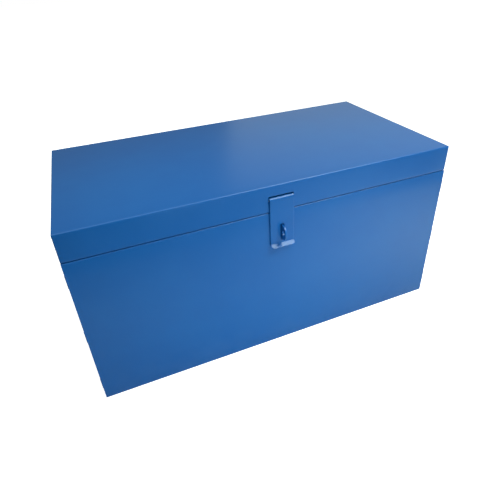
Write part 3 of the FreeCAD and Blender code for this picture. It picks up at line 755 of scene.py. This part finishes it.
roll, roll_travel = arc(hasp_axis[1:], ROLL_RADIUS, ROLL_FROM, ROLL_TO, ROLL_STEPS)
bar_y = -HALF[1] - BAR_GAP - BAR_THICK
neck_z = hasp_axis[2] + ROLL_RADIUS
kink_z = hasp_axis[2] - LIP_KINK
tip = (bar_y - LIP_REACH * math.sin(LIP_TURN), kink_z - LIP_REACH * math.cos(LIP_TURN))
slot_marks = neck_z - sorted_marks(hole_marks(eye_z, *STAPLE_SLOT), eye_z)[::-1]
flat_marks = sorted_marks(slot_marks, BELOW_NECK, neck_z - kink_z - ABOVE_KINK)
lip_marks = LIP_REACH - sorted_marks(closing_in(LIP_CORNER), closing_in(BAR_ARRIS, ARRIS_STEPS))[::-1]
flat, flat_travel = bent_line(
    [(hasp_axis[1], neck_z), (bar_y, neck_z), (bar_y, kink_z), tip],
    [NECK_BEND, LIP_BEND], {1: flat_marks, 2: lip_marks[lip_marks > PAST_KINK][:-1]})
line = np.vstack([roll[:-1], flat])
travel = np.vstack([roll_travel[:-1], flat_travel])
bar_run = distance_along(line)
print(f"Hasp bar: {bar_run[-1] / MM:.1f} mm from roll to lip")

# %% Hasp bar
to_tip = bar_run[-1] - bar_run
on_flat = np.abs(line[:, 0] - bar_y) < WELD
centre = np.column_stack([np.zeros(len(line)), line])
normal = np.column_stack([np.zeros(len(line)), left_of(travel)])
width = rounded_off(to_tip, BAR_HALF, LIP_CORNER)
thick = rounded_off(to_tip, BAR_THICK, BAR_ARRIS)
slot = np.where(on_flat, hole(line[:, 1], eye_z, *STAPLE_SLOT), 0)
skins = bar_skins(centre, X, normal, width, slot, thick, BAR_ARRIS)
make_piece("hasp_bar", skins, "hasp", rubbed_enamel, ["hasp_strap"])

# %% [markdown]
# ## The staple
# The staple is a plate set on edge: its foot is welded inside the front wall and its rounded nose stands
# out through the hasp's slot, with an eye for the padlock's shackle. A bent rod would look alike from afar,
# but the picture shows a flat eye. Nose and foot are straight bars, one along y and one along z.

# %% Staple
STAPLE_HALF, STAPLE_THICK, STAPLE_ROUND, STAPLE_STEPS = 15.5 * MM, 2 * MM, 12 * MM, 12
EYE_OUT, EYE_RADIUS = 12.5 * MM, 5 * MM
NOSE_ROOT = 3 * MM
FOOT_HALF, FOOT_TALL, FOOT_THICK, FOOT_CORNER = 13 * MM, 23 * MM, 1.5 * MM, 2 * MM
root_y = -(HALF[1] - SHEET - FOOT_THICK)
reach = root_y - staple_low[1]
eye_at = reach - (-HALF[1] - EYE_OUT - staple_low[1])
nose_marks = sorted_marks(
    0, NOSE_ROOT, reach - closing_in(STAPLE_ROUND, STAPLE_STEPS),
    reach - closing_in(BAR_ARRIS, ARRIS_STEPS), hole_marks(eye_at, EYE_RADIUS), eye_at)
nose = flat_bar((0, root_y, eye_z), -Y, Z, X, nose_marks, STAPLE_HALF, STAPLE_THICK, BAR_ARRIS,
                (0, STAPLE_ROUND), [(eye_at, EYE_RADIUS)])
corner_marks = closing_in(FOOT_CORNER, CUT_STEPS)
foot_marks = sorted_marks(corner_marks, 2 * FOOT_TALL - corner_marks, FOOT_TALL)
foot = flat_bar((0, root_y, eye_z - FOOT_TALL), Z, X, Y, foot_marks, FOOT_HALF, FOOT_THICK, BAR_ARRIS,
                (FOOT_CORNER, FOOT_CORNER))
make_piece("staple", nose + foot, "box", enamel, ["padlock_staple"])

# %% [markdown]
# ## The stays
# Each stay is a zinc-plated flat bar with round ends. It hangs from a stud on the lid, and its long slot
# slides on a stud on the body, which stops the lid when the slot runs out. The bar maker gives ends, hole
# and slot at once, where a cut through a box would need them one by one.

# %% Stay arms
STAY_HALF, STAY_THICK, STAY_ARRIS = 9 * MM, 1.25 * MM, 0.5 * MM
STUD_HOLE = 4.1 * MM
for side in ("left", "right"):
    low, high = np.array(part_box(f"{side}_stay_arm"))
    lid_stud = np.mean(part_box(f"{side}_stay_lid_stud"), axis=0)
    body_stud = np.mean(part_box(f"{side}_stay_body_stud"), axis=0)
    length = high[2] - low[2]
    pivot = length - STAY_HALF
    slot_low, slot_high = STAY_HALF, body_stud[2] - low[2]
    slot_row = ((slot_low + slot_high) / 2, STUD_HOLE, (slot_high - slot_low) / 2)
    round_end = closing_in(STAY_HALF)
    filed = closing_in(STAY_ARRIS, ARRIS_STEPS)
    marks = sorted_marks(
        round_end, length - round_end, filed, length - filed,
        hole_marks(pivot, STUD_HOLE), hole_marks(*slot_row), pivot)
    start = ((low[0] + high[0]) / 2, lid_stud[1], low[2])
    arm = flat_bar(start, Z, Y, X, marks, STAY_HALF, STAY_THICK, STAY_ARRIS, (STAY_HALF, STAY_HALF),
                   [(pivot, STUD_HOLE), slot_row])
    make_piece(f"{side}_stay", arm, f"{side}_stay", zinc, [f"{side}_stay_arm"])

# %% [markdown]
# ## The carrying handles
# A pressed plate is riveted to each end wall. Its ears are bent out with a soft root and carry a bail of
# round bar, and a ledge stops the bail when it is lifted. Plate, ears and ledge are flat bars again, set
# into each other. The bail could be a bevelled curve. As a circle carried along a bent line it keeps the
# true bends, and its two ends can be rounded off where they were sawn.

# %% Handle plate
PLATE_HALF, PLATE_THICK, PLATE_CORNER, PLATE_ARRIS = 82 * MM, 1 * MM, 6 * MM, 0.45 * MM
EAR_OUT, EAR_RADIUS, EAR_HOLE, EAR_ROOT, EAR_STEPS = 60 * MM, 8 * MM, 4.1 * MM, 3 * MM, 12
LEDGE_HALF, LEDGE_OUT, LEDGE_UP, LEDGE_CORNER = 59 * MM, 17.5 * MM, 5.3 * MM, 2 * MM


def handle_plate(side, sign):
    """The skins of a plate, two ears and a ledge, each a flat bar. Ears and ledge start inside the plate."""
    low, high = np.array(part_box(f"{side}_handle_plate"))
    pivot = joint_at[f"{side}_handle_swing"]
    sunk = PLATE_THICK / 2
    face = sign * (HALF[0] + sunk)
    tall = high[2] - low[2]
    filed = closing_in(PLATE_ARRIS, ARRIS_STEPS)
    plate_marks = sorted_marks(
        closing_in(PLATE_CORNER), tall - closing_in(PLATE_CORNER), tall / 2, filed, tall - filed)
    skins = flat_bar((sign * (HALF[0] + PLATE_THICK), 0, low[2]), Z, Y, sign * X, plate_marks,
                     PLATE_HALF, PLATE_THICK, PLATE_ARRIS, (PLATE_CORNER, PLATE_CORNER))
    reach = np.abs([low[0], high[0]]).max() - HALF[0] - sunk
    hole_at = abs(pivot[0]) - HALF[0] - sunk
    ear_marks = sorted_marks(
        EAR_ROOT - closing_in(EAR_ROOT)[::-1], reach - closing_in(EAR_RADIUS, EAR_STEPS), reach - filed,
        hole_marks(hole_at, EAR_HOLE), hole_at, EAR_ROOT)
    for end in (-1, 1):
        skins += flat_bar((face, end * EAR_OUT, pivot[2]), sign * X, Z, Y, ear_marks, EAR_RADIUS,
                          PLATE_THICK, PLATE_ARRIS, (0, EAR_RADIUS), [(hole_at, EAR_HOLE)], EAR_ROOT)
    ledge_marks = sorted_marks(0, LEDGE_OUT - closing_in(LEDGE_CORNER, CUT_STEPS), LEDGE_OUT - filed)
    return skins + flat_bar((face, 0, pivot[2] + LEDGE_UP), sign * X, Y, Z, ledge_marks, LEDGE_HALF,
                            PLATE_THICK, PLATE_ARRIS, (0, LEDGE_CORNER))


print(f"Handle plates: {2 * PLATE_THICK / MM} mm thick, with ears {2 * EAR_OUT / MM} mm apart")

# %% Bail
BAIL_RADIUS, BAIL_END, BAIL_LEG, BAIL_DROP = 4 * MM, 65 * MM, 50 * MM, 44 * MM
SHOULDER_BEND, GRIP_BEND = 8 * MM, 12 * MM
SAWN_ROUND = BAIL_RADIUS * 0.4
BAIL_SIDES, BAIL_STEPS, SAWN_STEPS = 20, 12, 5


def tube(spine, radius, across, normal, sides):
    """A circle carried along a spine: its point + radius * (cos(turn) * across + sin(turn) * normal)."""
    turn = np.linspace(0, 2 * math.pi, sides, endpoint=False)[:, None]
    normal = np.broadcast_to(normal, spine.shape)
    ring = np.cos(turn) * across + np.sin(turn) * normal[:, None]
    return skin(spine[:, None] + radius[:, None, None] * ring, wrap_columns=True)


def bail(side):
    """The skin of a bail: out of one ear, down a leg, along the grip and back up into the other ear."""
    pivot = joint_at[f"{side}_handle_swing"]
    grip = pivot[2] - BAIL_DROP
    tip_marks = closing_in(SAWN_ROUND, SAWN_STEPS)
    line, travel = bent_line(
        [(BAIL_END, pivot[2]), (BAIL_LEG, pivot[2]), (BAIL_LEG, grip),
         (-BAIL_LEG, grip), (-BAIL_LEG, pivot[2]), (-BAIL_END, pivot[2])],
        [SHOULDER_BEND, GRIP_BEND, GRIP_BEND, SHOULDER_BEND],
        {0: tip_marks, 4: BAIL_END - BAIL_LEG - tip_marks[::-1]}, BAIL_STEPS)
    run = distance_along(line)
    radius = rounded_off(np.minimum(run, run[-1] - run), BAIL_RADIUS, SAWN_ROUND)
    radius[[0, -1]] = 0
    spine = np.column_stack([np.full(len(line), pivot[0]), line])
    outwards = np.column_stack([np.zeros(len(line)), left_of(travel)])
    return tube(spine, radius, X, outwards, BAIL_SIDES)


for side, sign in (("left", -1), ("right", 1)):
    plate_node, bail_node = f"{side}_handle_plate", f"{side}_handle_bail"
    make_piece(f"{side}_handle_back", handle_plate(side, sign), "box", enamel, [plate_node])
    make_piece(f"{side}_bail", [bail(side)], f"{side}_handle", zinc, [bail_node])

# %% [markdown]
# ## Weld beads
# The hinge leaves are stitched to the sheet with short welds, and so are the end panels inside the box. A
# weld is a row of frozen ripples. Here it is a small tube whose radius swells once per ripple and fades at
# both ends. A bump map would look right from afar, but this bead also stands up in profile.

# %% Weld beads
BEAD_RADIUS, BEAD_PITCH, BEAD_RIPPLE = 1.7 * MM, 1.6 * MM, 0.12
BEAD_STEP, BEAD_SIDES = 0.27 * MM, 12
LEAF_BEAD, LEAF_BEAD_IN, LEAF_BEAD_OUT = 24 * MM, 10 * MM, 0.3 * MM
CORNER_BEAD, CORNER_BEADS = 30 * MM, (30 * MM, 160 * MM, 290 * MM)


def weld_bead(start, along, across, normal, length):
    """A tube of radius r * (1 + ripple * |sin(pi s / pitch)|) at a distance s, with both ends rounded off."""
    s = np.linspace(0, length, int(length / BEAD_STEP))
    swell = 1 + BEAD_RIPPLE * np.abs(np.sin(math.pi * s / BEAD_PITCH))
    radius = rounded_off(np.minimum(s, length - s), BEAD_RADIUS, BEAD_RADIUS) * swell
    return tube(np.array(start) + s[:, None] * along, radius, across, normal, BEAD_SIDES)


stitches = {"lid": [], "box": []}
for leaf, body in (("lid", "lid"), ("body", "box")):
    for hinge in ("left", "centre", "right"):
        low, high = np.array(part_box(f"{hinge}_hinge_{leaf}_leaf"))
        edge_z = high[2] if body == "lid" else low[2]
        for first in (low[0] + LEAF_BEAD_IN, high[0] - LEAF_BEAD_IN - LEAF_BEAD):
            place = (first, HALF[1] + LEAF_BEAD_OUT, edge_z)
            stitches[body].append(weld_bead(place, X, Y, Z, LEAF_BEAD))
inner = HALF - SHEET
for x in (-1, 1):
    for y in (-1, 1):
        for z in CORNER_BEADS:
            place = (x * inner[0], y * inner[1], z)
            stitches["box"].append(weld_bead(place, Z, X, Y, CORNER_BEAD))
for body, beads in stitches.items():
    make_piece(f"{body}_welds", beads, body, enamel)

# %% [markdown]
# ## The floor
# The box stands on a pale floor in a white room, and the picture's background is plain white. Enough light
# would turn any floor white, but it would bleach the paint too. So the floor keeps its pale colour, which
# takes the box's shadow, and adds a glow that only rays from the camera or through glass find.

# %% Floor
FLOOR_HALF = 14.0
FLOOR_PALE = (0.86, 0.86, 0.86, 1)
FLOOR_LIFT = 0.92
WHITE = (1, 1, 1, 1)
BLACK = (0, 0, 0, 1)


def ray_is(tree, kind):
    """1 for rays of this kind, 0 for the others."""
    return Wire.node(tree, "LightPath", output=f"Is {kind} Ray")


def seen_directly(tree):
    """1 for rays from the camera or through glass, 0 for the others."""
    return ray_is(tree, "Camera").math("MAXIMUM", ray_is(tree, "Transmission"))


def either(factor, first, second):
    """The first shader where the factor is 0, the second where it is 1."""
    return Wire.node(factor.tree, "MixShader", {}, {0: factor, 1: first, 2: second})


corners = FLOOR_HALF * np.array([(-1, -1, 0), (1, -1, 0), (1, 1, 0), (-1, 1, 0)])
floor_mesh = bpy.data.meshes.new("floor")
floor_mesh.from_pydata(corners, [], [(0, 1, 2, 3)])
floor = bpy.data.objects.new("floor", floor_mesh)
bpy.context.scene.collection.objects.link(floor)
floor_finish, tree, place = new_finish("pale_floor")
paint = Wire.node(tree, "BsdfDiffuse", {}, {"Color": FLOOR_PALE})
lift = Wire.node(tree, "Emission", {}, {"Color": WHITE, "Strength": FLOOR_LIFT})
white_floor = Wire.node(tree, "AddShader", {}, {0: paint, 1: lift})
plain_floor = either(seen_directly(tree), paint, white_floor)
print(f"Floor {2 * FLOOR_HALF} m wide")

# %% [markdown]
# ## The pool of light in the paint
# Glossy paint shows the room it stands in. In the picture the front of the box mirrors a floor that lies in
# shade on the left, with a pool of light before its right half. A painted floor would show that pool to the
# camera too, so it is a glow that only glossy rays find, worked out from places on the floor.

# %% Pool of light
# Places are metres on the floor: before the box, from left to right, and the way in which the pool fades
POOL_NEAR, POOL_FAR = 0.43, 0.82
POOL_LEFT, POOL_RIGHT, POOL_SLANT = -0.15, 0.6, 0.3
FADE_WAY, FADE_STEPS, FADE_SHARE = (0.6, -0.8, 0), (0.8, 1.3), 0.75
FOOT_FROM, FOOT_SHADE = 0.15, 0.5
NEAR_SHARE, RIGHT_SHARE = 0.28, 0.72


def daylight(strength):
    """The cool white of light from a window, as a colour of that strength."""
    return (0.95 * strength, 1.12 * strength, 1.06 * strength, 1)


def along(place, way):
    """How far a place lies along a way: the sum of the products of their parts."""
    inputs = {0: place, 1: way}
    return Wire.node(place.tree, "VectorMath", {"operation": "DOT_PRODUCT"}, inputs, output="Value")


# The pool is painted light: a glow on the floor that only the paint's gloss shows, in place of lamp light.
POOL = daylight(1.38)
before = along(place, (0, -1, 0))
near = 1 - before.ramp(POOL_NEAR, POOL_FAR)
sideways = along(place, (1, 0, 0)) + (POOL_NEAR - before).math("MINIMUM", 0) * POOL_SLANT
fading = 1 - along(place, FADE_WAY).ramp(*FADE_STEPS) * FADE_SHARE
# Painted shade: the pool dims towards the box's foot, as a shadow where the box meets the floor.
painted_foot_shade = before.ramp(FOOT_FROM, POOL_NEAR) * FOOT_SHADE + (1 - FOOT_SHADE)
pool = (near * NEAR_SHARE + sideways.ramp(POOL_LEFT, POOL_RIGHT) * RIGHT_SHARE * fading) * painted_foot_shade
lit_floor = Wire.node(tree, "Emission", {}, {"Color": pool.blend(BLACK, POOL)})
floor_look = either(ray_is(tree, "Glossy"), plain_floor, lit_floor)
Wire.node(tree, "OutputMaterial", {}, {"Surface": floor_look})
floor_mesh.materials.append(floor_finish)
print(f"{floor_finish.name}: {len(tree.nodes)} nodes")

# %% [markdown]
# ## The air
# The room round the box is white to the camera, and gives a little light from all sides, so that no shade
# goes black. Glossy rays find dim walls and a bright ceiling instead: the bends of the sheet mirror it, and
# that draws the light lines along them. A picture of a room would do that too, but a ramp from the walls up
# to the ceiling is enough.

# %% Air
WORLD_FILL = 0.13
LOW_SKY, HIGH_SKY = daylight(0.22), daylight(1.3)
SKY_STEPS = (0.55, 0.9)
world = bpy.data.worlds.new("studio")
bpy.context.scene.world = world
world.use_nodes = True
tree = world.node_tree
tree.nodes.clear()
way = Wire.node(tree, "TexCoord", output="Generated")
upwards = Wire.node(tree, "SeparateXYZ", {}, {"Vector": way}, output="Z")
sky = Wire.node(tree, "Background", {}, {"Color": upwards.ramp(*SKY_STEPS).blend(LOW_SKY, HIGH_SKY)})
white, fill = (
    Wire.node(tree, "Background", {}, {"Color": WHITE, "Strength": strength})
    for strength in (1.0, WORLD_FILL))
air = either(seen_directly(tree), either(ray_is(tree, "Glossy"), fill, sky), white)
Wire.node(tree, "OutputWorld", {}, {"Surface": air})
print(f"Light from all sides: {WORLD_FILL}")

# %% [markdown]
# ## Lamps
# Soft lamps stand round the box, as in a small product studio: one above the front edge gives the top its
# light, two before the front and one over the lid's left half fill in, and a wide one behind draws the
# sheen on the lid. Two low ones, beside the left end and behind, keep those sides out of the dark when the
# box is turned. The paint mirrors only the large lamps above and behind. The small ones would stand on it
# as hard white squares, and the picture shows none.

# %% Lamps
# Of each lamp: its place, the place it is aimed at, width and height in metres, power in watts
LAMPS = {
    "overhead": ((0.55, -0.565, 1.34), (0.1, -0.2, 0.3), 1.0, 0.8, 13.6),
    "key": ((0.5, -0.9, 0.3), (0.3, -0.2, 0.2), 0.4, 0.3, 0.72),
    "key_low": ((-0.05, -0.75, 0.21), (0.0, -0.2, 0.21), 0.3, 0.2, 1.25),
    "left": ((-0.25, -0.12, 0.95), (-0.25, -0.12, 0.4), 0.3, 0.3, 1.05),
    "back_right": ((1.65, 1.95, 1.22), (0.3, 0.1, 0.4), 2.1, 1.3, 3.2),
    "left_end": ((-1.7, 0.7, 0.55), (-0.4, 0.0, 0.25), 0.9, 0.7, 6.0),
    "back_low": ((-0.3, 2.0, 0.34), (0.0, 0.2, 0.22), 1.4, 0.3, 9.0),
}
MIRRORED = {"overhead", "back_right"}


def softbox(name, place, aim, width, height, power):
    """A soft lamp, aimed at a place. The camera doesn't see it, and paint does only if it is mirrored."""
    lamp = bpy.data.lights.new(name, "AREA")
    lamp.shape = "RECTANGLE"
    lamp.size = width
    lamp.size_y = height
    lamp.energy = power
    lamp.color = daylight(1)[:3]
    stand = bpy.data.objects.new(name, lamp)
    stand.visible_camera = False
    stand.visible_glossy = name in MIRRORED
    stand.location = place
    stand.rotation_euler = (Vector(aim) - Vector(place)).to_track_quat("-Z", "Y").to_euler()
    bpy.context.scene.collection.objects.link(stand)


for name, row in LAMPS.items():
    softbox(name, *row)
print(f"{len(LAMPS)} lamps lit, {len(MIRRORED)} of them mirrored")

# %% [markdown]
# ## The camera
# The camera stands where the picture was taken from. It could be set by eye, but place, turn, lens and
# shift were fitted to the box's corners in the picture, so that edges fall on edges.

# %% Camera
EYE = (-0.30037, -0.83934, 0.75138)
TURN = (58.7805, 2.2801, -22.4758)
LENS, SENSOR = 30.4026, 36
SHIFT = (-0.0115, -0.0607)
NEAREST = 0.01
lens = bpy.data.cameras.new("camera")
lens.lens = LENS
lens.sensor_width = SENSOR
lens.shift_x, lens.shift_y = SHIFT
lens.clip_start = NEAREST
camera = bpy.data.objects.new("camera", lens)
camera.location = EYE
camera.rotation_euler = Euler([math.radians(a) for a in TURN], "XYZ")
bpy.context.scene.collection.objects.link(camera)
bpy.context.scene.camera = camera
bpy.context.scene.view_settings.view_transform = "Standard"
print(f"Camera {EYE[2]} m above the floor, lens of {LENS} mm")
